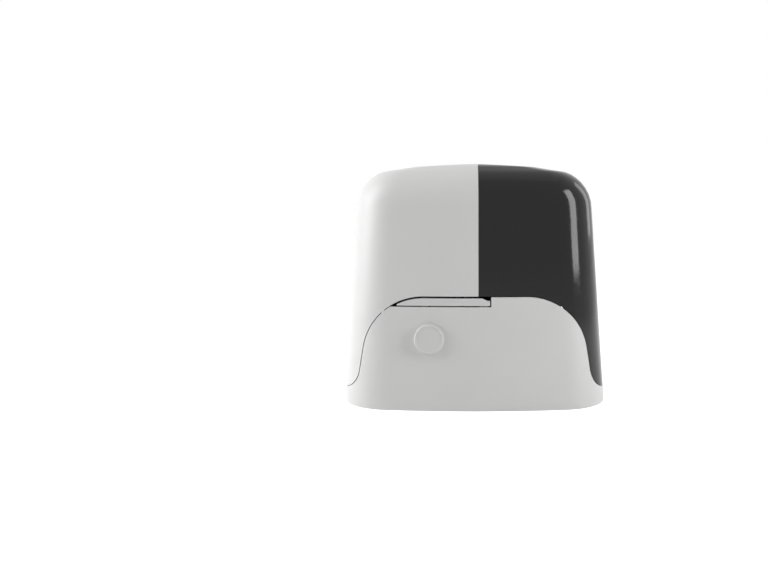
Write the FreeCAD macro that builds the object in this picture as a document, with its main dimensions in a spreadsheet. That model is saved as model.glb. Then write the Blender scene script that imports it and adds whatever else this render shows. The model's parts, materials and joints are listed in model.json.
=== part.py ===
import FreeCAD, Part
import Sketcher
import math
import os
import re
from FreeCAD import Placement, Rotation, Vector

# Sliding gate motor. Millimetres, +Z up. The origin is the centre of the underside, which is also the
# centre of the four anchor slots. +X points at the end with the light, -Y at the lever and the lock,
# +Y at the gate, where the pinion, its guard and the limit switch rod stand.

SIZES = (
    # moulded skin of the base and the cover
    ("half_length", 168.4, "half length of the skin at the ground"),
    ("half_width", 84.5, "half width of the skin at the ground"),
    ("taper_long", 0.062, "inward lean of the two ends, per unit of height"),
    ("taper_wide", 0.036, "inward lean of front and back, per unit of height"),
    ("full_height", 304, "height of the ridge"),
    ("dome_rise", 58, "height of the rounded top edge"),
    ("dome_long", 39, "how far the rounded edge reaches in at the two ends"),
    ("dome_wide", 56, "how far it reaches in at front and back"),
    ("ridge_drop", 15.2, "fall of the ridge from the middle to the full half length"),
    ("wall_thick", 2.8, "thickness of the moulded walls"),
    ("floor_thick", 4, "thickness of the base's floor"),
    # seam between the base and the cover
    ("seam_top", 137.5, "height of the seam's flat stretch"),
    ("seam_bend", 76, "radius of the shoulders of the seam"),
    ("seam_shoulder", 63.3, "half length of the flat stretch"),
    ("seam_lean", 9.3, "lean of the seam's steep stretch, in degrees"),
    ("seam_flare", 34, "radius of the flare at the seam's feet"),
    ("seam_foot", 16, "height of the seam at the two ends"),
    ("seam_gap", 0.9, "gap between the cover and the base"),
    ("split_at", 4, "where the light and the dark half of the cover meet"),
    # anchoring
    ("anchor_inset", 38.4, "anchor slots, from the ends of the skin at the ground"),
    ("anchor_wide", 48, "half their spacing across the gate"),
    ("anchor_bolt", 8, "diameter of the anchor bolts"),
    ("anchor_play", 1, "clearance of a bolt across its slot"),
    ("anchor_travel", 12, "adjustment along a slot"),
    ("cable_at", -18, "place of the cable entry"),
    ("cable_hole", 40, "diameter of the cable entry"),
    # drive
    ("drive_inset", 88.4, "output shaft, from the end of the skin at the ground"),
    ("drive_z", 59, "output shaft, height"),
    ("pinion_teeth", 16, "teeth of the rack pinion"),
    ("pinion_module", 4, "module of the rack pinion"),
    ("pinion_face", 20, "face width of the pinion"),
    ("boss_face", 84, "face of the moulded boss behind the pinion"),
    ("ring_radius", 53.5, "radius of the zinc ring"),
    ("ring_thick", 5.2, "thickness of the zinc ring"),
    ("pinion_gap", 1, "gap between the zinc ring and the pinion"),
    ("shaft_radius", 10, "radius of the output shaft"),
    ("bearing_radius", 23.5, "outer radius of the output bearings"),
    ("bearing_width", 14, "width of the output bearings"),
    ("wheel_teeth", 30, "teeth of the worm wheel"),
    ("wheel_module", 2, "module of the worm wheel"),
    ("wheel_face", 14, "face width of the worm wheel"),
    ("wheel_y", 15, "middle plane of the worm wheel and of the motor"),
    ("worm_pitch_radius", 10, "pitch radius of the worm"),
    ("case_end", 66, "rear face of the gear case"),
    ("worm_low", 22, "lower end of the worm's shaft"),
    ("gear_wall", 5, "wall of the gear case"),
    ("gear_slack", 2, "space between the worm wheel and its case"),
    # pinion guard
    ("guard_radius", 52.8, "outer radius of the guard"),
    ("guard_back", 91.5, "rear edge of the guard"),
    ("guard_front", 123.4, "outer face of the guard"),
    ("guard_top", 72, "height of the guard's open top"),
    ("guard_wall", 3, "wall of the guard"),
    ("guard_round", 4.5, "radius of the guard's outer edge"),
    ("guard_band_low", 43.5, "lower edge of the guard's recessed band"),
    ("guard_band_high", 58, "upper edge of that band"),
    ("guard_band_deep", 1.4, "depth of that band"),
    ("guard_screw", 2.2, "radius of the guard's screws"),
    ("guard_screw_reach", 40, "half the distance between the guard's screws"),
    # motor
    ("motor_radius", 42, "radius of the motor can"),
    ("motor_foot", 118, "height of the motor's flange"),
    ("motor_long", 104, "length of the motor can"),
    ("can_wall", 2.5, "wall of the motor can"),
    ("motor_shaft_radius", 6, "radius of the worm shaft"),
    # release lever and lock
    ("lever_left", -96, "pointed end of the lever"),
    ("lever_right", 18.2, "square end of the lever"),
    ("lever_tall", 9, "height of the release lever"),
    ("lever_thick", 5, "thickness of the lever"),
    ("lever_gap", 1.5, "gap round the lever"),
    ("finger_long", 9.5, "length of the finger notch at the lever's square end"),
    ("finger_deep", 3.2, "depth of the finger notch"),
    ("lever_pivot_x", -62, "lever pin, along the front"),
    ("lever_pivot_y", -68, "lever pin, across"),
    ("cam_radius", 6.5, "radius of the release cam"),
    ("cam_throw", 4, "how far the cam sits off its pin"),
    ("rod_drop", 8, "how far the release rod lies below the lever"),
    ("rod_radius", 3, "radius of the release rod"),
    ("lock_x", -56, "lock, along the front"),
    ("lock_z", 87, "lock, height"),
    ("lock_cap_radius", 18.25, "radius of the lock's cover cap"),
    ("lock_cap_thick", 3, "thickness of the cap"),
    ("lock_seat", 82, "front face of the lock's seat"),
    ("pin_radius", 1.5, "radius of the lever's pin and of the cap's pin"),
    ("lock_barrel", 10, "outer radius of the lock barrel"),
    ("lock_plug", 7, "radius of the lock plug"),
    # limit switch
    ("limit_z", 128.6, "height of the limit switch rod"),
    ("limit_pivot", 66, "its hinge, across"),
    ("limit_tip", 113.6, "end of the rod"),
    ("limit_radius", 4.2, "radius of the rod"),
    # light
    ("panel_gap", 0.35, "gap round the light panel"),
    ("panel_sink", 0.8, "how far the panel and the grooves lie below the skin"),
    ("panel_bottom", 141.4, "lowest point of the panel"),
    ("panel_top", 290, "upper edge of the panel"),
    ("panel_low_half", 18.3, "half width of the panel near its round end"),
    ("panel_high_half", 24.6, "half width at its upper edge"),
    ("strip_half", 5.6, "half width of the light strip"),
    ("strip_bottom", 152.4, "lowest point of the strip"),
    ("strip_end", 100, "where the strip ends on the ridge"),
    ("panel_corner", 4, "radius of the panel's upper corners"),
    ("panel_lip", 3, "how far the panel's flange reaches behind the cover"),
    ("panel_flange_thick", 2.2, "thickness of the flange"),
    ("light_board_thick", 1.6, "thickness of the board behind the strip"),
    ("top_groove_half", 15, "half width of the groove that carries the strip over the ridge"),
    ("split_groove", 0.5, "width of the groove between the two halves of the cover"),
    # electrics
    ("transformer_x", -84, "middle of the transformer, along the gate"),
    ("transformer_y", 25, "middle of the transformer, across"),
    ("core_long", 56, "length of its iron core"),
    ("core_wide", 42, "width of the core"),
    ("core_tall", 48, "height of the core"),
    ("core_limb", 16, "width of the core's limbs"),
    ("core_yoke", 9, "height of the core's yokes"),
    ("coil_over", 5, "how far the coil stands out of the core"),
    ("foot_tall", 6, "height of the transformer's foot"),
    ("board_left", -117, "left edge of the control board"),
    ("board_low", 107, "lower edge of the board"),
    ("board_wide", 102, "width of the board"),
    ("board_tall", 138, "height of the board"),
    ("board_front", 47.4, "front face of the board"),
    ("board_thick", 1.6, "thickness of the board"),
    ("board_stand", 5, "gap between the board and its tray"),
    ("tray_thick", 3, "thickness of the tray"),
    ("tray_leg", 10, "width of the tray's legs"),
    ("capacitor_radius", 9, "radius of the motor capacitor"),
    # general
    ("fit_gap", 0.3, "clearance between moving pieces"),
    ("run_fit", 0.05, "radial clearance of a running fit"),
)

doc = FreeCAD.newDocument("SlidingGateMotor")
dims = doc.addObject("Spreadsheet::Sheet", "dims")
for row, (alias, value, note) in enumerate(SIZES, start=1):
    dims.set("A%d" % row, note)
    dims.set("B%d" % row, str(value))
    dims.setAlias("B%d" % row, alias)
doc.recompute()

# sizes that follow from the ones above, written out wherever a formula names them
DERIVED = {
    "anchor_long": "(half_length - anchor_inset)",
    "drive_x": "(half_length - drive_inset)",
    "rod_height": "(lever_low - rod_drop)",
    "lever_low": "(seam_top - lever_gap - lever_tall)",
}
AXES = {"X": Rotation(Vector(0, 1, 0), 90), "Y": Rotation(Vector(1, 0, 0), -90), "Z": Rotation()}
nodes = []


# ---------------------------------------------------------------- helpers

def formula(text):
    """Write out the derived sizes, then put the sheet's name before every alias, the words with an underscore."""
    text = str(text)
    for name, meaning in DERIVED.items():
        text = re.sub(r"\b%s\b" % name, meaning, text)
    return re.sub(r"\b([a-z]+(?:_[a-z]+)+)\b", r"dims.\1", text)


def worth(text):
    """The number that a formula of the sheet gives."""
    result = dims.evalExpression(formula(text))
    return float(getattr(result, "Value", result))


def bind(obj, **formulas):
    for prop, text in formulas.items():
        obj.setExpression(prop, formula(text))
    return obj


def put(obj, x=0, y=0, z=0, turn=None):
    if turn is not None:
        obj.Placement = Placement(Vector(), turn)
    for key, text in (("x", x), ("y", y), ("z", z)):
        obj.setExpression(".Placement.Base." + key, formula(text))
    return obj


def block(length, width, height, x=0, y=0, z=0):
    """A box with the middle of its underside at x, y, z."""
    box = doc.addObject("Part::Box", "Block")
    bind(box, Length=length, Width=width, Height=height)
    return put(box, "(%s) - (%s) / 2" % (x, length), "(%s) - (%s) / 2" % (y, width), z)


def span(x0, x1, y0, y1, z0, z1):
    """A box between two values on each axis."""
    box = doc.addObject("Part::Box", "Block")
    bind(box, Length="(%s) - (%s)" % (x1, x0), Width="(%s) - (%s)" % (y1, y0), Height="(%s) - (%s)" % (z1, z0))
    return put(box, x0, y0, z0)


def rod(radius, length, axis="Z", x=0, y=0, z=0):
    """A cylinder that starts at x, y, z and runs along the axis."""
    return put(bind(doc.addObject("Part::Cylinder", "Rod"), Radius=radius, Height=length), x, y, z, AXES[axis])


def hexagon(radius, length, axis="Z", x=0, y=0, z=0):
    shape = doc.addObject("Part::Prism", "Hexagon")
    shape.Polygon = 6
    return put(bind(shape, Circumradius=radius, Height=length), x, y, z, AXES[axis])


def fuse(*parts):
    union = doc.addObject("Part::MultiFuse", "Union")
    union.Shapes = list(parts)
    return union


def cut(base, *tools):
    result = doc.addObject("Part::Cut", "Cut")
    result.Base = base
    result.Tool = tools[0] if len(tools) == 1 else fuse(*tools)
    return result


def common(first, second):
    result = doc.addObject("Part::Common", "Common")
    result.Base = first
    result.Tool = second
    return result


def tube(outer, inner, length, axis="Z", x=0, y=0, z=0):
    """A ring; its bore runs right through."""
    return cut(rod(outer, length, axis, x, y, z), rod(inner, length, axis, x, y, z))


def made(name, shape):
    """A Part::Feature whose shape is worked out by Part functions."""
    feature = doc.addObject("Part::Feature", name)
    feature.Shape = shape
    return feature


def node(name, obj):
    obj.Label = name
    nodes.append(obj)
    return obj


def plane_of(body, role):
    return next(item for item in body.Origin.OriginFeatures if item.Role == role)


def outline(body, role, corners, offset=0):
    """A closed sketch on one of the body's planes.

    Each corner is (across, up) or (across, up, radius, side), where the radius turns the stretch that
    ends in that corner into an arc that bulges to its right (side 1) or to its left (side -1).
    """
    sketch = body.newObject("Sketcher::SketchObject", "Sketch")
    sketch.AttachmentSupport = [(plane_of(body, role), "")]
    sketch.MapMode = "FlatFace"
    sketch.setExpression(".AttachmentOffset.Base.z", formula(offset))
    points = [Vector(worth(corner[0]), worth(corner[1]), 0) for corner in corners]
    count = len(corners)
    ends = []
    for index, corner in enumerate(corners):
        start, end = points[index - 1], points[index]
        if len(corner) == 2:
            sketch.addGeometry(Part.LineSegment(start, end))
            ends.append((1, 2))
            continue
        radius, side = worth(corner[2]), corner[3]
        chord = end - start
        across = Vector(chord.y, -chord.x, 0).normalize() * side
        rise = math.sqrt(max(radius ** 2 - (chord.Length / 2) ** 2, 0))
        centre = (start + end) / 2 - across * rise
        first, last = (start, end) if side == 1 else (end, start)
        angles = [math.atan2(p.y - centre.y, p.x - centre.x) for p in (first, last)]
        circle = Part.Circle(centre, Vector(0, 0, 1), radius)
        sketch.addGeometry(Part.ArcOfCircle(circle, angles[0], angles[1]))
        ends.append((1, 2) if side == 1 else (2, 1))
    for index in range(count):
        following = (index + 1) % count
        sketch.addConstraint(_coincide(index, ends[index][1], following, ends[following][0]))
    for index, corner in enumerate(corners):
        for kind, text in (("DistanceX", corner[0]), ("DistanceY", corner[1])):
            _drive(sketch, kind, (-1, 1, index, ends[index][1]), text)
        if len(corner) > 2:
            _drive(sketch, "Radius", (index,), corner[2])
    return sketch


def _coincide(first, first_end, second, second_end):
    return Sketcher.Constraint("Coincident", first, first_end, second, second_end)


def _drive(sketch, kind, where, text):
    number = sketch.addConstraint(Sketcher.Constraint(kind, *where, worth(text)))
    sketch.setExpression("Constraints[%d]" % number, formula(text))


def padded(role, corners, length, offset=0, midplane=False, backward=False):
    """A body made by one pad of an outline."""
    body = doc.addObject("PartDesign::Body", "Body")
    sketch = outline(body, role, corners, offset)
    pad = body.newObject("PartDesign::Pad", "Pad")
    pad.Profile = sketch
    bind(pad, Length=length)
    pad.Midplane = midplane
    pad.Reversed = backward
    return body


def turned(corners, role="XZ_Plane", x=0, y=0, z=0, turn=None):
    """A body turned about its own upright axis from an outline of (radius, height)."""
    body = doc.addObject("PartDesign::Body", "Body")
    sketch = outline(body, role, corners)
    revolution = body.newObject("PartDesign::Revolution", "Revolution")
    revolution.Profile = sketch
    revolution.ReferenceAxis = (sketch, ["V_Axis"])
    revolution.Angle = 360
    return put(body, x, y, z, turn)


# ---------------------------------------------------------------- moulded skin

SIDE_RATIO, END_RATIO, CORNER_RATIO = 5.4, 10.0, 0.765


def oval(half_long, half_wide, height):
    """A closed wire of eight tangent arcs: flat curves on the four sides, tighter ones between them."""
    side, end, corner = SIDE_RATIO * half_long, END_RATIO * half_wide, CORNER_RATIO * half_wide
    side_centre, end_centre = Vector(0, half_wide - side, 0), Vector(half_long - end, 0, 0)
    apart = end_centre - side_centre
    reach = ((side - corner) ** 2 - (end - corner) ** 2 + apart.Length ** 2) / (2 * apart.Length)
    rise = math.sqrt((side - corner) ** 2 - reach ** 2)
    along = Vector(apart).normalize()
    middles = [side_centre + along * reach + Vector(-along.y, along.x, 0) * rise * sign for sign in (1, -1)]
    centre = max(middles, key=lambda point: point.x + point.y)
    on_side = side_centre + (centre - side_centre).normalize() * side
    on_end = end_centre + (centre - end_centre).normalize() * end
    half_way = centre + ((on_side - centre) + (on_end - centre)).normalize() * corner

    def at(point, right=1, back=1):
        return Vector(point.x * right, point.y * back, height)

    tip, flank = Vector(half_long, 0, 0), Vector(0, half_wide, 0)
    arcs = []
    for right in (1, -1):
        arcs.append((at(on_end, right, -right), at(tip, right), at(on_end, right, right)))
        arcs.append((at(on_end, right, right), at(half_way, right, right), at(on_side, right, right)))
        arcs.append((at(on_side, right, right), at(flank, 1, right), at(on_side, -right, right)))
        arcs.append((at(on_side, -right, right), at(half_way, -right, right), at(on_end, -right, right)))
    return Part.Wire([Part.Arc(*three).toShape() for three in arcs])


DOME_STEPS = (12, 24, 36, 48, 59, 70, 80)      # degrees round the dome's edge
RIDGE_STEPS = (0.56, 0.36, 0.16)               # shares of the flat length
RIDGE_POWER = 1.3                              # 1 gives a roof, 2 a parabola
RIDGE_WIDTH = 1.3                              # how much longer a band is than the ridge inside it


def skin(inset, foot):
    """The closed form of the housing, drawn in by the inset, from the height of its foot up."""
    long, wide = worth("half_length") - inset, worth("half_width") - inset
    lean_long, lean_wide = worth("taper_long"), worth("taper_wide")
    top, rise = worth("full_height") - inset, worth("dome_rise") - inset
    spring = top - rise
    edge_long, edge_wide = worth("dome_long") - inset, worth("dome_wide") - inset
    flat_long = long - lean_long * spring - edge_long
    flat_wide = wide - lean_wide * spring - edge_wide

    def ridge_fall(across):
        return worth("ridge_drop") * (across / worth("half_length")) ** RIDGE_POWER

    def half_wide_at(height):
        share = min((height - spring) / rise, 1)
        return flat_wide + edge_wide * math.sqrt(1 - share ** 2)

    levels = [(long - lean_long * z, wide - lean_wide * z, z) for z in (foot, spring)]
    for degrees in DOME_STEPS:
        angle = math.radians(degrees)
        across = flat_long + edge_long * math.cos(angle)
        fall = ridge_fall(across) * math.sin(angle)
        height = spring + rise * math.sin(angle) - fall
        levels.append((across, half_wide_at(height), height))
    for share in RIDGE_STEPS:
        across = share * flat_long
        height = top - ridge_fall(across)
        levels.append((across * RIDGE_WIDTH, half_wide_at(height), height))
    return Part.makeLoft([oval(*level) for level in levels], True, True)


outer_skin = made("OuterSkin", skin(0, 0))
inner_skin = made("InnerSkin", skin(worth("wall_thick"), -1))
panel_skin = made("PanelSkin", skin(worth("panel_sink"), 0))
flange_skin = made("FlangeSkin", skin(worth("wall_thick + panel_flange_thick"), -1))
board_skin = made("BoardSkin", skin(worth("wall_thick + panel_flange_thick + light_board_thick"), -1))
lever_skin = made("LeverSkin", skin(worth("lever_thick"), 0))
WIDE = 240      # longer than the housing on any axis
shell = cut(outer_skin, inner_skin)


def seam_block(gap, deep=2 * WIDE, low=-20):
    """Everything under the seam, as a block across the housing; the gap raises the seam."""
    lift = "(%s)" % gap
    right = "(seam_shoulder + (seam_bend + %s) * cos(seam_lean))" % lift
    right_z = "(seam_top - seam_bend + (seam_bend + %s) * sin(seam_lean))" % lift
    flare = "(seam_flare - %s)" % lift
    flare_z = "(seam_foot + seam_flare)"
    flare_x = ("(seam_shoulder + (seam_bend + seam_flare) * cos(seam_lean) + (seam_top - seam_bend"
               " + (seam_bend + seam_flare) * sin(seam_lean) - seam_foot - seam_flare) * tan(seam_lean))")
    steep_x = "(%s - %s * cos(seam_lean))" % (flare_x, flare)
    steep_z = "(%s - %s * sin(seam_lean))" % (flare_z, flare)
    top = "(seam_top + %s)" % lift
    foot = "(seam_foot + %s)" % lift
    corners = [
        (-WIDE, foot), (-WIDE, low), (WIDE, low), (WIDE, foot), (flare_x, foot),
        (steep_x, steep_z, flare, -1), (right, right_z), ("seam_shoulder", top, "seam_bend + " + lift, 1),
        ("-seam_shoulder", top), ("-" + right, right_z, "seam_bend + " + lift, 1),
        ("-" + steep_x, steep_z), ("-" + flare_x, foot, flare, -1),
    ]
    return padded("XZ_Plane", corners, deep, midplane=True)


def panel_block(margin, foot, low_half, high_half, top):
    """The tongue-shaped outline of the light, as a block along the housing, wider by the margin."""
    low, high = "(%s + %s)" % (low_half, margin), "(%s + %s)" % (high_half, margin)
    bottom = "(%s - %s)" % (foot, margin)
    upper = "(%s + %s)" % (top, margin)
    below = upper + " - panel_corner"
    corners = [
        (0, bottom, low, 1), (low, "%s + %s" % (bottom, low), low, 1), (high, below),
        (high + " - panel_corner", upper, "panel_corner", 1), ("panel_corner - " + high, upper),
        ("-" + high, below, "panel_corner", 1), ("-" + low, "%s + %s" % (bottom, low)),
    ]
    return padded("YZ_Plane", corners, WIDE)


PANEL = ("panel_bottom", "panel_low_half", "panel_high_half", "panel_top")
STRIP = ("strip_bottom", "strip_half", "strip_half", "full_height")
END = 128       # the light's pieces all lie beyond this


def beyond_end(obj):
    return common(obj, span(END, WIDE, -WIDE, WIDE, -WIDE, 2 * WIDE))


# ---------------------------------------------------------------- base

def slot_hole(side_x, side_y):
    """An anchor slot: two round ends and the stretch between them."""
    radius = "((anchor_bolt + anchor_play) / 2)"
    ends = []
    for way in (-1, 1):
        along = "%d * anchor_long + %d * anchor_travel / 2" % (side_x, way)
        ends.append(rod(radius, "floor_thick + 2", "Z", along, "%d * anchor_wide" % side_y, -1))
    middle = block("anchor_travel", "2 * " + radius, "floor_thick + 2", "%d * anchor_long" % side_x,
                   "%d * anchor_wide" % side_y, -1)
    return fuse(middle, *ends)


cap_pin_z = "(lock_z + lock_cap_radius - 5)"
base_walls = common(shell, seam_block("0"))
floor = common(inner_skin, span(-WIDE, WIDE, -WIDE, WIDE, 0, "floor_thick"))
boss = cut(rod("ring_radius + 1.5", "boss_face - 60", "Y", "drive_x", 60, "drive_z"), inner_skin)
lock_seat = common(rod("lock_cap_radius + 0.6", 30, "Y", "lock_x", "-lock_seat", "lock_z"),
                   cut(span(-WIDE, WIDE, -WIDE, 0, 0, WIDE), inner_skin))
lever_shelf = common(outer_skin, span("lever_pivot_x - 6", "lever_pivot_x + 6", -WIDE, "lever_pivot_y + 6",
                                      "rod_height - 16", "rod_height - 4.5"))
base_solid = fuse(base_walls, floor, boss, lock_seat, lever_shelf)
lever_notch = span("lever_left - 12", "lever_right + lever_gap", -WIDE, 0, "lever_low - lever_gap", "seam_top + 1")
limit_slot = span("drive_x - 11", "drive_x + 11", 50, 100, "limit_z - limit_radius - 0.8",
                  "limit_z + limit_radius + 0.8")
pry_slot = span("half_length - 14", "half_length + 5", -4, 4, "seam_foot - 3.5", "seam_foot - 1.5")
base_housing = node("base_housing", cut(
    base_solid, lever_notch, limit_slot, pry_slot,
    rod("bearing_radius + 6.5", 60, "Y", "drive_x", 50, "drive_z"),
    rod("lock_barrel", 60, "Y", "lock_x", -90, "lock_z"),
    rod("cable_hole / 2", 20, "Z", "cable_at", 0, -5),
    rod("pin_radius", 12, "Z", "lever_pivot_x", "lever_pivot_y", "rod_height - 16"),
    rod("pin_radius", 4, "Y", "lock_x", "-lock_seat", cap_pin_z),
    *[slot_hole(right, back) for right in (-1, 1) for back in (-1, 1)]))

cable_grommet = node("cable_grommet", cut(
    fuse(rod("cable_hole / 2", "floor_thick + 1", "Z", "cable_at", 0, 0),
         rod("cable_hole / 2 + 4", 2.5, "Z", "cable_at", 0, "floor_thick")),
    rod("cable_hole / 2 - 5", 20, "Z", "cable_at", 0, -5)))


# ---------------------------------------------------------------- cover

above_seam = cut(shell, seam_block("seam_gap"))
cover_light = node("cover_light", common(above_seam, span(-WIDE, "split_at", -WIDE, WIDE, 0, 2 * WIDE)))
panel_hole = beyond_end(panel_block("panel_gap", *PANEL))
strip_form = common(panel_block("0", *STRIP), span("strip_end", WIDE, -WIDE, WIDE, -WIDE, 2 * WIDE))
sunk_skin = cut(outer_skin, panel_skin)
top_groove = common(sunk_skin, span("strip_end - 8", WIDE, "-top_groove_half", "top_groove_half", "panel_top - 2",
                                    2 * WIDE))
split_groove = common(sunk_skin, span("split_at", "split_at + split_groove", -WIDE, WIDE, 0, 2 * WIDE))
cover_dark = node("cover_dark", cut(common(above_seam, span("split_at", WIDE, -WIDE, WIDE, 0, 2 * WIDE)),
                                    panel_hole, strip_form, top_groove, split_groove))

panel_face = common(cut(panel_skin, flange_skin), beyond_end(panel_block("0", *PANEL)))
panel_flange = common(cut(inner_skin, flange_skin), beyond_end(panel_block("panel_lip", *PANEL)))
light_panel = node("light_panel", cut(fuse(panel_face, panel_flange), strip_form))
light_lens = node("light_lens", common(cut(panel_skin, flange_skin), strip_form))
light_board = node("light_board", common(cut(flange_skin, board_skin), span(
    END, WIDE, "-strip_half - 2", "strip_half + 2", "strip_bottom + 4", "panel_top - 8")))

# ---------------------------------------------------------------- output shaft, pinion and gears

def tooth_points(pitch, tip, root, count, half_angle, steps=3):
    """One tooth's outline from root to root, with involute flanks."""
    pressure = math.radians(20)
    base = pitch * math.cos(pressure)
    start = max(root, base)

    def flank_angle(radius):
        roll = math.sqrt(max((radius / base) ** 2 - 1, 0))
        return roll - math.atan(roll)

    flank = []
    for index in range(steps + 1):
        radius = start + (tip - start) * index / steps
        flank.append((radius, half_angle + flank_angle(pitch) - flank_angle(radius)))
    if root < start:
        flank.insert(0, (root, flank[0][1]))
    return [(radius, -angle) for radius, angle in flank] + [(radius, angle) for radius, angle in reversed(flank)]


def gear(name, teeth, module, face, bore, backlash=0.15):
    """A straight-toothed gear that stands on its face, with arcs for its tips and roots."""
    pitch, tip, root = teeth * module / 2, teeth * module / 2 + module, teeth * module / 2 - 1.25 * module
    half_angle = math.pi / (2 * teeth) - backlash / (2 * pitch)
    points = tooth_points(pitch, tip, root, teeth, half_angle)
    edges = []
    turn = 2 * math.pi / teeth

    def at(radius, angle):
        return Vector(radius * math.cos(angle), radius * math.sin(angle), 0)

    for index in range(teeth):
        around = index * turn
        ring = [at(radius, angle + around) for radius, angle in points]
        middle = len(ring) // 2
        for number in range(len(ring) - 1):
            if number == middle - 1:
                edges.append(Part.Arc(ring[number], at(tip, around), ring[number + 1]).toShape())
            else:
                edges.append(Part.LineSegment(ring[number], ring[number + 1]).toShape())
        following = at(root, points[0][1] + around + turn)
        edges.append(Part.Arc(ring[-1], at(root, around + turn / 2), following).toShape())
    profile = Part.Face(Part.Wire(edges))
    solid = profile.extrude(Vector(0, 0, face))
    return made(name, solid.cut(Part.makeCylinder(bore, face)))


ring_face = "(boss_face + ring_thick)"
pinion_start = "(boss_face + ring_thick + pinion_gap)"
pinion_end = "(boss_face + ring_thick + pinion_gap + pinion_face)"
pinion_body = gear("PinionTeeth", int(worth("pinion_teeth")), worth("pinion_module"), worth("pinion_face"),
                   worth("shaft_radius"))
put(pinion_body, "drive_x", pinion_start, "drive_z", AXES["Y"])
key_slot = span("drive_x - 3", "drive_x + 3", "boss_face", "guard_front", "drive_z + shaft_radius - 3.5",
                "drive_z + shaft_radius + 2.8")
pinion = node("pinion", cut(pinion_body, key_slot))
pinion_key = node("pinion_key", span("drive_x - 3", "drive_x + 3", pinion_start, pinion_end,
                                     "drive_z + shaft_radius - 3.5", "drive_z + shaft_radius + 2.8"))
shaft_start = "(wheel_y - wheel_face / 2 - 11)"
output_shaft = node("output_shaft", cut(
    fuse(rod("shaft_radius", "%s - %s" % (pinion_end, shaft_start), "Y", "drive_x", shaft_start, "drive_z"),
         rod("shaft_radius + 2.5", 6, "Y", "drive_x", "wheel_y + wheel_face / 2 + 1", "drive_z")),
    key_slot, rod(4, 20, "Y", "drive_x", pinion_end + " - 18", "drive_z")))
pinion_bolt = node("pinion_bolt", fuse(
    rod(14, 2.2, "Y", "drive_x", pinion_end, "drive_z"),
    hexagon(7.5, 5, "Y", "drive_x", pinion_end + " + 2.2", "drive_z"),
    rod(4, 16, "Y", "drive_x", pinion_end + " - 16", "drive_z")))

wheel_body = gear("WheelTeeth", int(worth("wheel_teeth")), worth("wheel_module"), worth("wheel_face"),
                  worth("shaft_radius"))
put(wheel_body, "drive_x", "wheel_y - wheel_face / 2", "drive_z", AXES["Y"])
worm_wheel = node("worm_wheel", fuse(
    wheel_body,
    tube(17, "shaft_radius", "wheel_face + 2", "Y", "drive_x", "wheel_y - wheel_face / 2 - 1", "drive_z")))

# ---------------------------------------------------------------- gear case

worm_x = "(drive_x - wheel_teeth * wheel_module / 2 - worm_pitch_radius)"
case_inner = "(wheel_teeth * wheel_module / 2 + wheel_module + gear_slack)"
case_outer = "(%s + gear_wall)" % case_inner
case_start = "(wheel_y - wheel_face / 2 - 13)"
tower_inner = "(worm_pitch_radius + wheel_module + gear_slack)"
tower_outer = "(%s + gear_wall)" % tower_inner
spigot = "(bearing_radius + 6)"

drum = rod(case_outer, "case_end - " + case_start, "Y", "drive_x", case_start, "drive_z")
tower = rod(tower_outer, "motor_foot - 12", "Z", worm_x, "wheel_y", 12)
neck = rod(spigot, "ring_thick + boss_face - case_end - 0.2", "Y", "drive_x", "case_end", "drive_z")
foot = span(worm_x + " - 19", "drive_x + 36", case_start, "case_end", "floor_thick", "floor_thick + 9")
web = span("drive_x - 8", "drive_x + 8", case_start, "case_end", "floor_thick", "drive_z")
motor_flange = rod("motor_radius", 6, "Z", worm_x, "wheel_y", "motor_foot - 6")
wheel_room = rod(case_inner, "wheel_face + 4", "Y", "drive_x", "wheel_y - wheel_face / 2 - 2", "drive_z")
shaft_room = rod("shaft_radius + 3", "case_end + 20", "Y", "drive_x", "wheel_y", "drive_z")
cover_room = rod(case_inner, 15, "Y", "drive_x", case_start + " - 4", "drive_z")
rear_bearing_start = "(boss_face + ring_thick - 3.5 - bearing_width)"
rear_bearing_room = rod("bearing_radius", 40, "Y", "drive_x", rear_bearing_start, "drive_z")
worm_room = rod(tower_inner, "motor_foot - worm_low - 21", "Z", worm_x, "wheel_y", "worm_low + 9")
worm_bore = rod("motor_shaft_radius + 1", "motor_foot", "Z", worm_x, "wheel_y", "worm_low - 1")
low_bearing_room = rod(16, 9, "Z", worm_x, "wheel_y", "worm_low")
high_bearing_room = rod(16, 12, "Z", worm_x, "wheel_y", "motor_foot - 9")
gear_case = node("gear_case", cut(
    fuse(drum, tower, neck, foot, web, motor_flange),
    wheel_room, shaft_room, cover_room, rear_bearing_room, worm_room, worm_bore, low_bearing_room,
    high_bearing_room))
gear_case_lid = node("gear_case_lid", cut(
    fuse(rod(case_inner, 9, "Y", "drive_x", case_start, "drive_z"),
         rod(case_outer, 4, "Y", "drive_x", case_start + " - 4", "drive_z")),
    rod("bearing_radius - 2.5", 8, "Y", "drive_x", case_start + " + 1", "drive_z"),
    rod(6, 1, "Y", "drive_x", case_start + " - 4", "drive_z")))
front_bearing = node("front_bearing", tube("bearing_radius - 2.5", "shaft_radius + run_fit", 8, "Y", "drive_x",
                                           case_start + " + 1", "drive_z"))
rear_bearing = node("rear_bearing", tube("bearing_radius", "shaft_radius + run_fit", "bearing_width", "Y",
                                         "drive_x",
                                         rear_bearing_start, "drive_z"))
oil_seal = node("oil_seal", tube("bearing_radius", "shaft_radius + run_fit", 3, "Y", "drive_x",
                                 rear_bearing_start + " + bearing_width", "drive_z"))
worm_low_bearing = node("worm_low_bearing", tube(16, "motor_shaft_radius + run_fit", 9, "Z", worm_x, "wheel_y",
                                                 "worm_low"))
worm_high_bearing = node("worm_high_bearing", tube(16, "motor_shaft_radius + run_fit", 9, "Z", worm_x,
                                                   "wheel_y", "motor_foot - 9"))
guard_screw_places = [("drive_x + %d * guard_screw_reach" % side, "drive_z - 20") for side in (-1, 1)]
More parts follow.
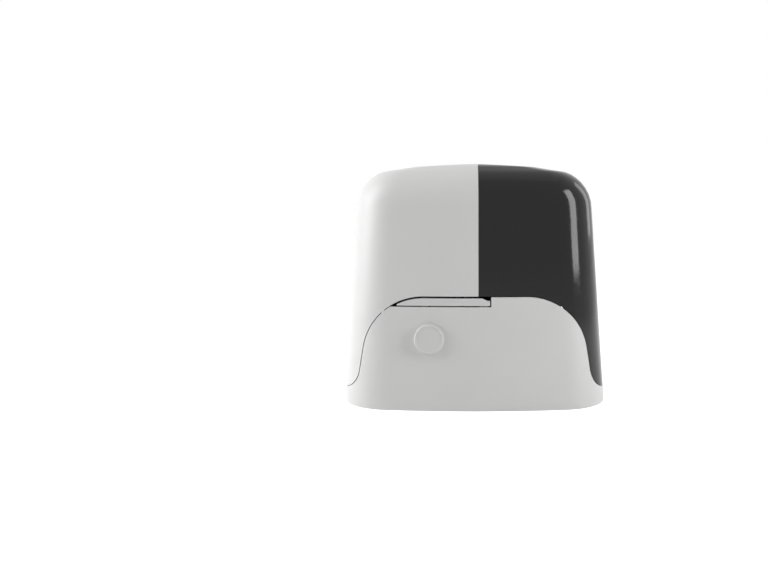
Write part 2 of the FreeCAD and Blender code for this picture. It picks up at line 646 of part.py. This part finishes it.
flange_ring = node("flange_ring", cut(
    rod("ring_radius", "ring_thick", "Y", "drive_x", "boss_face", "drive_z"),
    rod(spigot, "ring_thick", "Y", "drive_x", "boss_face", "drive_z"),
    *[rod("guard_screw", 20, "Y", x, "boss_face - 5", z) for x, z in guard_screw_places]))

# ---------------------------------------------------------------- motor

motor_top = "(motor_foot + motor_long)"
motor_can = node("motor_can", tube("motor_radius", "motor_radius - can_wall", "motor_long", "Z", worm_x, "wheel_y",
                                   "motor_foot"))
motor_cap = node("motor_cap", cut(
    fuse(rod("motor_radius", 14, "Z", worm_x, "wheel_y", motor_top),
         rod(20, 22, "Z", worm_x, "wheel_y", motor_top)),
    rod("motor_radius - 6", 10, "Z", worm_x, "wheel_y", motor_top + " - 1"),
    rod("motor_shaft_radius + run_fit", 60, "Z", worm_x, "wheel_y", motor_top),
    rod(15, 14, "Z", worm_x, "wheel_y", motor_top + " + 16")))


def magnet(side):
    """One curved magnet, a third of a ring on one side of the rotor."""
    ring = tube("motor_radius - can_wall", "motor_radius - can_wall - 7", "motor_long - 34", "Z", worm_x, "wheel_y",
                "motor_foot + 16")
    reach = span(worm_x + " - 30", worm_x + " + 30", "wheel_y" if side > 0 else "wheel_y - 60",
                 "wheel_y + 60" if side > 0 else "wheel_y", 0, 2 * WIDE)
    return common(ring, reach)


magnet_front = node("magnet_front", magnet(-1))
magnet_back = node("magnet_back", magnet(1))
rotor_core = node("rotor_core", tube("motor_radius - can_wall - 8", "motor_shaft_radius", "motor_long - 38", "Z",
                                     worm_x, "wheel_y", "motor_foot + 18"))
commutator = node("commutator", tube(13, "motor_shaft_radius", 12, "Z", worm_x, "wheel_y", motor_top + " - 14"))
worm_shaft = node("worm_shaft", fuse(
    rod("motor_shaft_radius", motor_top + " + 20 - worm_low", "Z", worm_x, "wheel_y", "worm_low"),
    rod("worm_pitch_radius - 1.25 * wheel_module", "motor_foot - worm_low - 22", "Z", worm_x, "wheel_y",
        "worm_low + 9.5")))
encoder_disc = node("encoder_disc", tube(13, "motor_shaft_radius", 1.5, "Z", worm_x, "wheel_y",
                                         motor_top + " + 18"))

# ---------------------------------------------------------------- pinion guard

def guard_form(shrink, start, end, rounded=False):
    """A U as a block along the shaft, smaller by the shrink, with the edge of its outer end rounded."""
    radius = "(guard_radius - %s)" % shrink
    corners = [
        ("drive_x - " + radius, "drive_z"), ("drive_x", "drive_z - " + radius, radius, 1),
        ("drive_x + " + radius, "drive_z", radius, 1), ("drive_x + " + radius, "guard_top"),
        ("drive_x - " + radius, "guard_top"),
    ]
    body = doc.addObject("PartDesign::Body", "Body")
    sketch = outline(body, "XZ_Plane", corners, "-(%s)" % start)
    pad = body.newObject("PartDesign::Pad", "Pad")
    pad.Profile = sketch
    bind(pad, Length="(%s) - (%s)" % (end, start))
    pad.Reversed = True
    if rounded:
        doc.recompute()
        far = pad.Shape.BoundBox.YMax
        rim = [number for number, edge in enumerate(pad.Shape.Edges, start=1)
               if edge.BoundBox.YMin > far - 0.01]
        fillet = body.newObject("PartDesign::Fillet", "Fillet")
        fillet.Base = (pad, ["Edge%d" % number for number in rim])
        bind(fillet, Radius="guard_round")
    return body


guard_inside = fuse(guard_form("guard_wall", "guard_back - 1", "guard_front - guard_wall"),
                    block("2 * (guard_radius - guard_wall)", "guard_front - guard_wall - guard_back + 1", 40,
                          "drive_x", "(guard_back - 1 + guard_front - guard_wall) / 2", "guard_top - 20"))
guard_band = cut(span("drive_x - guard_radius - 1", "drive_x + guard_radius + 1", "guard_back + 5",
                      "guard_front + 1", "guard_band_low", "guard_band_high"),
                 guard_form("guard_band_deep", "guard_back", "guard_front - guard_band_deep"))
guard_lugs = [cut(rod(6, "guard_back + 8 - " + ring_face, "Y", x, ring_face, z),
                  rod("guard_screw", 60, "Y", x, "boss_face", z)) for x, z in guard_screw_places]
guard_shell = cut(guard_form("0", "guard_back", "guard_front", rounded=True), guard_inside, guard_band)
pinion_guard = node("pinion_guard", fuse(guard_shell, *guard_lugs))
guard_screws = node("guard_screws", fuse(*[
    fuse(rod("guard_screw", 14, "Y", x, "guard_back - 6", z), rod(4, 3, "Y", x, "guard_back + 8", z))
    for x, z in guard_screw_places]))

# ---------------------------------------------------------------- release lever, lock

lever_band = common(cut(outer_skin, lever_skin),
                    span("lever_left", "lever_right", -WIDE, -40, "lever_low", "seam_top"))
lever_barrel = rod(5, "seam_top - lever_low", "Z", "lever_pivot_x", "lever_pivot_y", "lever_low")
lever_web = common(outer_skin, span("lever_pivot_x", "lever_pivot_x + 16", -WIDE, "lever_pivot_y",
                                    "lever_low", "seam_top"))
lever_stem = rod(4.5, "lever_low - rod_height + 4", "Z", "lever_pivot_x", "lever_pivot_y", "rod_height - 4")
lever_cam = rod("cam_radius", 8, "Z", "lever_pivot_x", "lever_pivot_y + cam_throw", "rod_height - 4")
lever_under = seam_block("-lever_gap")
lever_top = "(seam_top - lever_gap)"
finger_notch = padded("XZ_Plane", [
    ("lever_right - finger_long", lever_top + " + 1"), ("lever_right - finger_long", lever_top),
    ("lever_right - finger_long / 2", lever_top + " - 0.75 * finger_deep"),
    ("lever_right + 1", lever_top + " - finger_deep"), ("lever_right + 1", lever_top + " + 1"),
], 2 * WIDE, midplane=True)
release_lever = node("release_lever", cut(
    common(fuse(lever_band, lever_barrel, lever_web, lever_stem, lever_cam), lever_under), finger_notch,
    rod("pin_radius + run_fit", 40, "Z", "lever_pivot_x", "lever_pivot_y", "rod_height - 10")))
lever_pin = node("lever_pin", rod("pin_radius", lever_top + " - rod_height + 12", "Z", "lever_pivot_x", "lever_pivot_y",
                                  "rod_height - 16"))
rod_y = "(lever_pivot_y + cam_throw / 2)"
rod_start = "(lever_pivot_x + cam_radius + 0.7)"
rod_end = "(%s - 14)" % worm_x
release_rod = node("release_rod", fuse(
    rod(6, 2.5, "X", rod_start, rod_y, "rod_height"),
    rod("rod_radius", "%s - %s" % (rod_end, rod_start), "X", rod_start, rod_y, "rod_height")))
rod_guide = node("rod_guide", cut(
    span(rod_end + " - 20", rod_end + " - 10", rod_y + " - 7", "wheel_y - 20", "rod_height - 7", "rod_height + 7"),
    rod("motor_radius", 60, "Z", worm_x, "wheel_y", "motor_foot - 20"),
    rod("rod_radius + fit_gap", 60, "X", rod_end + " - 50", rod_y, "rod_height")))

lock_barrel = node("lock_barrel", fuse(
    tube("lock_barrel", "lock_plug + run_fit", 30, "Y", "lock_x", "-lock_seat + 0.4", "lock_z"),
    tube("lock_barrel + 4", "lock_barrel", 4, "Y", "lock_x", "-lock_seat + 9", "lock_z")))
lock_plug = node("lock_plug", cut(
    fuse(rod("lock_plug", 33, "Y", "lock_x", "-lock_seat + 0.6", "lock_z"),
         span("lock_x - 5", "lock_x + 18", "-lock_seat + 33.6", "-lock_seat + 36.6", "lock_z - 5", "lock_z + 5")),
    span("lock_x - 3.6", "lock_x + 3.6", -100, "-lock_seat + 12", "lock_z - 0.9", "lock_z + 0.9")))
cap_back = "(-lock_seat - fit_gap)"
cap_corners = [
    (0, 0), ("lock_cap_radius", 0), ("lock_cap_radius", "lock_cap_thick - 0.8"),
    ("lock_cap_radius - 0.8", "lock_cap_thick"), ("lock_cap_radius - 2.6", "lock_cap_thick"),
    ("lock_cap_radius - 3.2", "lock_cap_thick - 0.6"), (0, "lock_cap_thick - 0.6"),
]
cap_disc = turned(cap_corners, "XZ_Plane", "lock_x", cap_back, "lock_z", Rotation(Vector(1, 0, 0), 90))
lock_cap = node("lock_cap", cut(
    cap_disc, rod("pin_radius + run_fit", 1.9, "Y", "lock_x", cap_back + " - 1.5", cap_pin_z)))
cap_pin = node("cap_pin", rod("pin_radius", "fit_gap + 1.3 + 4", "Y", "lock_x", cap_back + " - 1.3", cap_pin_z))

# ---------------------------------------------------------------- limit switch

limit_hub_z = "(limit_z - 6)"
limit_rod = node("limit_rod", cut(
    fuse(rod("limit_radius", "limit_tip - limit_pivot - 8", "Y", "drive_x", "limit_pivot", "limit_z"),
         rod(6, 12, "Z", "drive_x", "limit_pivot", limit_hub_z),
         span("drive_x - 2.5", "drive_x + 2.5", "limit_pivot - 14", "limit_pivot",
              limit_hub_z, limit_hub_z + " + 5")),
    rod("2 + run_fit", 20, "Z", "drive_x", "limit_pivot", "limit_z - 10")))
limit_tip = node("limit_tip", common(
    rod("limit_radius + 0.3", 8, "Y", "drive_x", "limit_tip - 8", "limit_z"),
    put(bind(doc.addObject("Part::Sphere", "Dome"), Radius=9), "drive_x", "limit_tip - 9", "limit_z")))
limit_box_top = "(limit_z - 6.4)"
limit_housing = node("limit_housing", cut(
    span("drive_x - 17", "drive_x + 17", "limit_pivot - 14", "limit_pivot + 3", "drive_z + 30", limit_box_top),
    rod(case_outer, 60, "Y", "drive_x", 20, "drive_z"), rod(2, 40, "Z", "drive_x", "limit_pivot", 100)))
limit_pin = node("limit_pin", rod(2, "limit_z + 6 - 112", "Z", "drive_x", "limit_pivot", 112))
limit_switches = node("limit_switches", fuse(*[
    span("drive_x + %d" % x, "drive_x + %d" % (x + 6), "limit_pivot - 14", "limit_pivot - 2", limit_box_top,
         limit_box_top + " + 8") for x in (-17, 11)]))

# ---------------------------------------------------------------- electrics

def about(long, wide, low, tall):
    """A box centred on the transformer, from a height above the base's floor."""
    return block(long, wide, tall, "transformer_x", "transformer_y", "floor_thick + " + low)


def on_board(left, low, wide, tall, deep, lift=0):
    """A box on the front of the control board, placed from the board's lower left corner."""
    return span("board_left + %s" % left, "board_left + %s" % (left + wide),
                "board_front - %s" % (deep + lift), "board_front - %s" % lift,
                "board_low + %s" % low, "board_low + %s" % (low + tall))


window_long = "(core_long - 2 * core_limb)"
window_tall = "(core_tall - 2 * core_yoke)"
window_low = "foot_tall + core_yoke"
transformer_foot = node("transformer_foot", about("core_long + core_limb", "core_wide - 8", "0", "foot_tall"))
transformer_core = node("transformer_core", cut(
    about("core_long", "core_wide", "foot_tall", "core_tall"),
    about(window_long, 2 * WIDE, window_low, window_tall)))
transformer_coil = node("transformer_coil", about(
    window_long, "core_wide + 2 * coil_over", window_low, window_tall))

board_right, board_high = "(board_left + board_wide)", "(board_low + board_tall)"
tray_face = "(board_front + board_thick + board_stand)"
tray_back = tray_face + " + tray_thick"
tray_legs = [span(x, x + " + tray_leg", tray_face, tray_back + " + tray_thick", "floor_thick", "board_low - 3")
             for x in ("board_left - 1", board_right + " - tray_leg + 1")]
tray_posts = [rod("tray_thick", "board_stand", "Y", x, "board_front + board_thick", z)
              for x in ("board_left + 5", board_right + " - 5") for z in ("board_low + 5", board_high + " - 5")]
board_tray = node("board_tray", fuse(
    span("board_left - 1", board_right + " + 1", tray_face, tray_back, "board_low - 3", board_high + " + 3"),
    *tray_legs, *tray_posts))
control_board = node("control_board", span("board_left", board_right, "board_front", "board_front + board_thick",
                                           "board_low", board_high))
terminal_blocks = node("terminal_blocks", fuse(
    on_board(left=3, low=5, wide=50, tall=10, deep=10.4), on_board(left=59, low=5, wide=36, tall=10, deep=10.4)))
relays = node("relays", fuse(*[on_board(left=left, low=25, wide=16, tall=20, deep=16.4) for left in (5, 27)]))
capacitor = node("capacitor", rod("capacitor_radius", 30, "Z", "board_left + 75", "board_front - capacitor_radius",
                                  "board_low + 33"))
heat_sink = node("heat_sink", fuse(
    on_board(left=7, low=61, wide=50, tall=30, deep=3.4),
    *[on_board(left=7 + 8 * fin, low=61, wide=2, tall=30, deep=14, lift=3.4) for fin in range(7)]))
radio_module = node("radio_module", on_board(left=67, low=79, wide=28, tall=22, deep=6))
display = node("display", on_board(left=9, low=105, wide=28, tall=16, deep=8))
fuse_holder = node("fuse_holder", fuse(
    on_board(left=61, low=107, wide=30, tall=9, deep=4),
    on_board(left=64, low=109, wide=24, tall=5, deep=5, lift=4)))

# ---------------------------------------------------------------- checks and files

doc.recompute()
for obj in doc.Objects:
    if {"Invalid", "Error"} & set(obj.State):
        raise SystemExit("failed object: %s %s %s" % (obj.Name, obj.Label, obj.State))
os.makedirs("parts", exist_ok=True)
for obj in nodes:
    if obj.Shape.isNull() or not obj.Shape.isValid():
        raise SystemExit("bad shape: " + obj.Label)
    if len(obj.Shape.Solids) != 1:
        print("solids", obj.Label, len(obj.Shape.Solids))
for obj in nodes:
    obj.Shape.exportStep(os.path.join("parts", obj.Label + ".step"))
print(len(nodes), "sub-parts written")
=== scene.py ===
import json
import math
import bpy
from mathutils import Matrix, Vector


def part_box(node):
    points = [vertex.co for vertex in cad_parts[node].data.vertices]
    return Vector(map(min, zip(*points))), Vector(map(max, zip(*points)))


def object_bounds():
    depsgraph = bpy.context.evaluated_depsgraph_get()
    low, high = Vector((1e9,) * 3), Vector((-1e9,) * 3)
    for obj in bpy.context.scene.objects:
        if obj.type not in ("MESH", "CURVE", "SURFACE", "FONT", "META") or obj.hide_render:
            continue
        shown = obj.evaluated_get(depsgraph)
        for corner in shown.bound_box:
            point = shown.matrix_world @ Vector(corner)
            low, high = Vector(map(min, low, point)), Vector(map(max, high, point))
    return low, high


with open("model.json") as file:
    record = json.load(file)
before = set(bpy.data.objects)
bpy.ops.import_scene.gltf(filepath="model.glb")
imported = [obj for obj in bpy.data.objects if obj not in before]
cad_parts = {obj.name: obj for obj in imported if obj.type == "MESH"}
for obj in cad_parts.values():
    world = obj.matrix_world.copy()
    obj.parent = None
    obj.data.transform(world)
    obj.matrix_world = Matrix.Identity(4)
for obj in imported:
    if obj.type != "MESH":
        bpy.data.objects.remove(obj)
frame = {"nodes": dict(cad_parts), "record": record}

# Sliding gate motor: finishes, smooth shading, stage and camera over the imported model.
# Metres, +Z up, front at -Y. Every visible piece is a node of the model; none is added here.
cad_box = [list(corner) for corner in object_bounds()]
nodes = frame["nodes"]
MM = 0.001
WHITE = (1, 1, 1, 1)


# ---------------------------------------------------------------- node helpers

# Sockets of a Mix node that mixes colours. They are numbers, because its sockets share names.
MIX_FACTOR, MIX_FIRST, MIX_SECOND = 0, 6, 7
MIX_RESULT = 2
SHADER = "Principled BSDF"


def fresh(name):
    """A new node material, its node tree and its shader."""
    mat = bpy.data.materials.new(name)
    mat.use_nodes = True
    return mat, mat.node_tree, mat.node_tree.nodes[SHADER]


def link(tree, source, output, target, entry):
    tree.links.new(source.outputs[output], target.inputs[entry])


def split_coordinates(tree, kind):
    """X, Y and Z of a texture coordinate, as the outputs of one node."""
    place = tree.nodes.new("ShaderNodeTexCoord")
    apart = tree.nodes.new("ShaderNodeSeparateXYZ")
    link(tree, place, kind, apart, "Vector")
    return apart


def noise(tree, cells, detail):
    """Noise over the piece's own coordinates, with so many cells per metre."""
    place = tree.nodes.new("ShaderNodeTexCoord")
    node = tree.nodes.new("ShaderNodeTexNoise")
    node.inputs["Scale"].default_value = cells
    node.inputs["Detail"].default_value = detail
    link(tree, place, "Object", node, "Vector")
    return node


def ramp(tree, source, output, low, high, start, end):
    """Maps a grey value from low..high to start..end."""
    node = tree.nodes.new("ShaderNodeMapRange")
    node.inputs["From Min"].default_value = low
    node.inputs["From Max"].default_value = high
    node.inputs["To Min"].default_value = start
    node.inputs["To Max"].default_value = end
    link(tree, source, output, node, "Value")
    return node


def tinted(tree, source, output, first, second):
    """A colour between two, chosen by a grey value."""
    node = tree.nodes.new("ShaderNodeMix")
    node.data_type = "RGBA"
    node.inputs[MIX_FIRST].default_value = (*first, 1)
    node.inputs[MIX_SECOND].default_value = (*second, 1)
    link(tree, source, output, node, MIX_FACTOR)
    return node


def math_node(tree, operation, *sources):
    """A math node over (node, output) pairs and plain numbers."""
    node = tree.nodes.new("ShaderNodeMath")
    node.operation = operation
    for entry, source in enumerate(sources):
        if isinstance(source, tuple):
            link(tree, source[0], source[1], node, entry)
        else:
            node.inputs[entry].default_value = source
    return node


def background_seen(tree):
    """1 for the rays that show the white background: camera, glossy and transmission rays."""
    path = tree.nodes.new("ShaderNodeLightPath")
    both = math_node(tree, "MAXIMUM", (path, "Is Camera Ray"), (path, "Is Glossy Ray"))
    return math_node(tree, "MAXIMUM", (both, "Value"), (path, "Is Transmission Ray"))


# ---------------------------------------------------------------- materials

# For each family: cells per metre and detail of the clouds in the colour, of the uneven sheen
# and of the fine tooth, how far the roughness strays from its value, and the tooth's depth.
PLASTIC = {"clouds": (18, 3), "sheen": (260, 3), "tooth": (2600, 2), "strays": (-0.03, 0.04),
           "depth": 0.02 * MM}
METAL = {"clouds": (70, 4), "sheen": (190, 4), "tooth": (900, 4), "strays": (-0.06, 0.08),
         "depth": 0.03 * MM}
CAST_METAL = {**METAL, "tooth": (1400, 4)}
NOISE_SPAN = (0.3, 0.7)             # where nearly all of a noise texture's values lie

GLOW_COLOUR = (0.93, 0.97, 1.0, 1)  # of the light strip
LENS_COLOUR = (0.9, 0.9, 0.9, 1)
LENS_HALF = 0.0056                  # metres from the strip's middle to its edge
LENS_EDGE = 0.72                    # how bright its edge is against its middle
# A glow painted into the dark panel's material as emission, in place of the strip's light
# falling on the panel
PAINTED_PANEL_GLOW = 0.55                   # strength of the painted glow on the panel beside the strip
PAINTED_PANEL_GLOW_REACH = 11 * MM
PAINTED_PANEL_GLOW_FALL = 3.0               # the power by which the painted glow falls off


def surface(name, colour, rough, family, spread, grain):
    """A textured material. Spread darkens its colour's clouds; grain is the tooth's strength."""
    mat, tree, shader = fresh(name)
    darker = [part * (1 - spread) for part in colour]
    mix = tinted(tree, noise(tree, *family["clouds"]), "Fac", darker, colour)
    link(tree, mix, MIX_RESULT, shader, "Base Color")
    roughs = [rough + stray for stray in family["strays"]]
    sheen = ramp(tree, noise(tree, *family["sheen"]), "Fac", *NOISE_SPAN, *roughs)
    link(tree, sheen, "Result", shader, "Roughness")
    bump = tree.nodes.new("ShaderNodeBump")
    bump.inputs["Strength"].default_value = grain
    bump.inputs["Distance"].default_value = family["depth"]
    link(tree, noise(tree, *family["tooth"]), "Fac", bump, "Height")
    link(tree, bump, "Normal", shader, "Normal")
    return mat


def plastic(name, colour, rough, grain=0.35, spread=0.04, specular=0.5):
    """Moulded plastic, with the spark-eroded grain of its mould."""
    mat = surface(name, colour, rough, PLASTIC, spread, grain)
    mat.node_tree.nodes[SHADER].inputs["Specular IOR Level"].default_value = specular
    return mat


def metal(name, colour, rough, grain=0.2, spread=0.12, family=METAL):
    """Plated, cast or turned metal."""
    mat = surface(name, colour, rough, family, spread, grain)
    mat.node_tree.nodes[SHADER].inputs["Metallic"].default_value = 1.0
    return mat


def lit_lens(name, strength):
    """A milky lens lit from behind, a little brighter along its middle."""
    mat, tree, shader = fresh(name)
    side = math_node(tree, "ABSOLUTE", (split_coordinates(tree, "Object"), "Y"))
    glow = ramp(tree, side, "Value", 0.0, LENS_HALF, strength, strength * LENS_EDGE)
    link(tree, glow, "Result", shader, "Emission Strength")
    shader.inputs["Emission Color"].default_value = GLOW_COLOUR
    shader.inputs["Base Color"].default_value = LENS_COLOUR
    shader.inputs["Roughness"].default_value = 0.3
    return mat


def panel_with_painted_glow(name, colour):
    """Glossy dark panel, with a painted glow beside and below the light strip: emission in the
    panel's material that stands in for the light the strip throws onto it.
    """
    mat = plastic(name, colour, 0.16, grain=0.02, spread=0.2, specular=0.3)
    tree = mat.node_tree
    shader = tree.nodes[SHADER]
    low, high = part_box("light_lens")
    half = (high[1] - low[1]) / 2
    apart = split_coordinates(tree, "Object")
    below = math_node(tree, "SUBTRACT", low[2] + half, (apart, "Z"))
    under = math_node(tree, "MAXIMUM", (below, "Value"), 0.0)
    squares = [math_node(tree, "POWER", source, 2.0)
               for source in ((apart, "Y"), (under, "Value"))]
    total = math_node(tree, "ADD", *[(square, "Value") for square in squares])
    away = math_node(tree, "SQRT", (total, "Value"))
    # Painted glow: emission on the panel that fades with distance from the strip's edge
    near = ramp(tree, away, "Value", half, half + PAINTED_PANEL_GLOW_REACH, 1.0, 0.0)
    glow = math_node(tree, "POWER", (near, "Result"), PAINTED_PANEL_GLOW_FALL)
    scaled = math_node(tree, "MULTIPLY", (glow, "Value"), PAINTED_PANEL_GLOW)
    link(tree, scaled, "Value", shader, "Emission Strength")
    shader.inputs["Emission Color"].default_value = GLOW_COLOUR
    return mat


# The material for each material slot of the model
FINISH = {
    "light_plastic": plastic("LightPlastic", (0.62, 0.62, 0.616), 0.42),
    "lever_plastic": plastic("LeverPlastic", (0.60, 0.60, 0.596), 0.42),
    "guard_plastic": plastic("GuardPlastic", (0.50, 0.50, 0.485), 0.48),
    "dark_plastic": plastic("DarkPlastic", (0.006, 0.006, 0.006), 0.11,
                            grain=0.03, spread=0.2, specular=0.3),
    # the dark panel carries a painted glow around the light strip
    "dark_gloss": panel_with_painted_glow("DarkGloss", (0.006, 0.006, 0.007)),
    "lens": lit_lens("LitLens", 3.0),
    "black_plastic": plastic("BlackPlastic", (0.03, 0.03, 0.03), 0.5, spread=0.2),
    "terminal_plastic": plastic("TerminalPlastic", (0.05, 0.28, 0.09), 0.45),
    "circuit_board": plastic("CircuitBoard", (0.01, 0.14, 0.05), 0.3, grain=0.1),
    "rubber": plastic("Rubber", (0.02, 0.02, 0.02), 0.7, spread=0.2),
    "zinc": metal("Zinc", (0.62, 0.65, 0.70), 0.34),
    "steel": metal("Steel", (0.52, 0.52, 0.53), 0.28, spread=0.06),
    "dark_metal": metal("DarkMetal", (0.08, 0.08, 0.085), 0.4),
    "cast_aluminium": metal("CastAluminium", (0.66, 0.66, 0.67), 0.5,
                            grain=0.5, family=CAST_METAL),
    "motor_paint": plastic("MotorPaint", (0.035, 0.035, 0.04), 0.35, spread=0.2),
    "ferrite": plastic("Ferrite", (0.04, 0.04, 0.04), 0.6, spread=0.2),
    "laminations": metal("Laminations", (0.22, 0.22, 0.24), 0.45),
    "coil_tape": plastic("CoilTape", (0.55, 0.42, 0.06), 0.4),
    "copper": metal("Copper", (0.72, 0.36, 0.20), 0.3),
    "bronze": metal("Bronze", (0.55, 0.38, 0.18), 0.35),
    "brass": metal("Brass", (0.70, 0.55, 0.26), 0.3),
}

MERGE_WITHIN = 0.01 * MM            # vertices this close are one
SHARP_ABOVE = math.radians(24)      # an edge with a sharper turn than this stays an edge


def smoothing():
    """Geometry nodes that shade a CAD mesh smooth, except across its sharp edges."""
    group = bpy.data.node_groups.new("Smoothing", "GeometryNodeTree")
    for way in ("INPUT", "OUTPUT"):
        group.interface.new_socket("Geometry", in_out=way, socket_type="NodeSocketGeometry")
    start = group.nodes.new("NodeGroupInput")
    merge = group.nodes.new("GeometryNodeMergeByDistance")
    merge.inputs["Distance"].default_value = MERGE_WITHIN
    plain = group.nodes.new("GeometryNodeRemoveAttribute")
    plain.inputs["Name"].default_value = "custom_normal"
    soft = group.nodes.new("GeometryNodeSetShadeSmooth")
    sharp = group.nodes.new("GeometryNodeSetShadeSmooth")
    sharp.domain = "EDGE"
    sharp.inputs["Shade Smooth"].default_value = False
    angle = group.nodes.new("GeometryNodeInputMeshEdgeAngle")
    steep = group.nodes.new("ShaderNodeMath")
    steep.operation = "GREATER_THAN"
    steep.inputs[1].default_value = SHARP_ABOVE
    end = group.nodes.new("NodeGroupOutput")
    chain = (start, merge, plain, soft, sharp, end)
    for source, target in zip(chain, chain[1:]):
        link(group, source, 0, target, 0)
    link(group, angle, "Unsigned Angle", steep, 0)
    link(group, steep, 0, sharp, "Selection")
    return group


def dress():
    """Gives every node its material and the smooth shading."""
    smooth = smoothing()
    for part in frame["record"]["subparts"]:
        piece = nodes[part["node"]]
        piece.data.materials.clear()
        piece.data.materials.append(FINISH[part["material_slot"]])
        piece.modifiers.new("Smooth", "NODES").node_group = smooth


# ---------------------------------------------------------------- stage

FLOOR_REACH = 6.0
FLOOR_COLOUR = (0.75, 0.75, 0.75, 1)
FLOOR_GLOW = 0.72                   # with the light that falls on it, this shows as white
# How strongly the room lights the object from each direction, as a sum over these rows:
# coordinate of the direction, where its ramp starts and ends, the strength at both ends
ROOM = (
    ("Y", -0.7, 0.8, 0.0, 0.36),    # from the front to the back
    ("Z", 0.0, 1.0, 0.0, 0.25),     # from the horizon to the top
    ("X", -0.3, -1.0, 0.0, 1.3),    # towards the left
)
BOXES = (
    # name, place, aim, width, height, watts
    ("LeftBox", (-1.4, -0.14, 0.75), (0, 0, 0.16), 0.8, 1.2, 17.0),
    ("RightBox", (1.02, -0.51, 0.60), (0.1, 0, 0.2), 0.36, 0.95, 9.5),
    ("RearBox", (1.02, 0.51, 0.60), (0.1, 0, 0.2), 0.30, 0.80, 1.6),
    ("TopBox", (0.0, 0.1, 1.6), (0, 0, 0.1), 1.4, 1.0, 0.8),
)


def build_floor():
    """A white floor that shows as white to the camera and still takes the object's shadow."""
    low = cad_box[0][2]
    corners = [(x * FLOOR_REACH, y * FLOOR_REACH, low)
               for x, y in ((-1, -1), (1, -1), (1, 1), (-1, 1))]
    mesh = bpy.data.meshes.new("Floor")
    mesh.from_pydata(corners, [], [(0, 1, 2, 3)])
    floor = bpy.data.objects.new("Floor", mesh)
    bpy.context.scene.collection.objects.link(floor)
    mat, tree, shader = fresh("FloorWhite")
    shader.inputs["Base Color"].default_value = FLOOR_COLOUR
    shader.inputs["Roughness"].default_value = 0.9
    shader.inputs["Specular IOR Level"].default_value = 0.1
    shader.inputs["Emission Color"].default_value = WHITE
    seen = ramp(tree, background_seen(tree), "Value", 0, 1, 0, FLOOR_GLOW)
    link(tree, seen, "Result", shader, "Emission Strength")
    mesh.materials.append(mat)


def build_room():
    """A world that shows as white, and lights the object by direction at its own strength."""
    world = bpy.data.worlds.new("Studio")
    bpy.context.scene.world = world
    world.use_nodes = True
    tree = world.node_tree
    lighting = tree.nodes["Background"]
    shown = tree.nodes.new("ShaderNodeBackground")
    for background in (lighting, shown):
        background.inputs["Color"].default_value = WHITE
    apart = split_coordinates(tree, "Generated")
    total, *others = [(ramp(tree, apart, *row), "Result") for row in ROOM]
    for other in others:
        total = (math_node(tree, "ADD", total, other), "Value")
    link(tree, *total, lighting, "Strength")
    pick = tree.nodes.new("ShaderNodeMixShader")
    link(tree, background_seen(tree), "Value", pick, 0)
    link(tree, lighting, "Background", pick, 1)
    link(tree, shown, "Background", pick, 2)
    link(tree, pick, "Shader", tree.nodes["World Output"], "Surface")


def build_softbox(name, place, aim, width, height, watts):
    """A rectangular lamp at a place, aimed at a point."""
    data = bpy.data.lights.new(name, "AREA")
    data.shape = "RECTANGLE"
    data.size = width
    data.size_y = height
    data.energy = watts
    lamp = bpy.data.objects.new(name, data)
    bpy.context.scene.collection.objects.link(lamp)
    lamp.location = place
    way = Vector(aim) - Vector(place)
    lamp.rotation_euler = way.to_track_quat("-Z", "Y").to_euler()


# ---------------------------------------------------------------- camera

PHOTO_WIDTH = 768                   # pixels
FOCAL = 700                         # pixels
SENSOR = 36                         # millimetres
CAMERA_PLACE = (-0.0125, -0.931, 0.242)
CAMERA_SHIFT = (-0.1053, -0.0996)   # frames the object right of the middle, as the photo does


def build_camera():
    """A level camera in front of the housing."""
    data = bpy.data.cameras.new("Camera")
    data.sensor_width = SENSOR
    data.lens = FOCAL / PHOTO_WIDTH * SENSOR
    data.shift_x, data.shift_y = CAMERA_SHIFT
    camera = bpy.data.objects.new("Camera", data)
    camera.location = CAMERA_PLACE
    camera.rotation_euler = (math.radians(90), 0, 0)
    bpy.context.scene.collection.objects.link(camera)
    bpy.context.scene.camera = camera


dress()
build_floor()
build_room()
for box in BOXES:
    build_softbox(*box)
build_camera()
bpy.context.scene.view_settings.view_transform = "Standard"
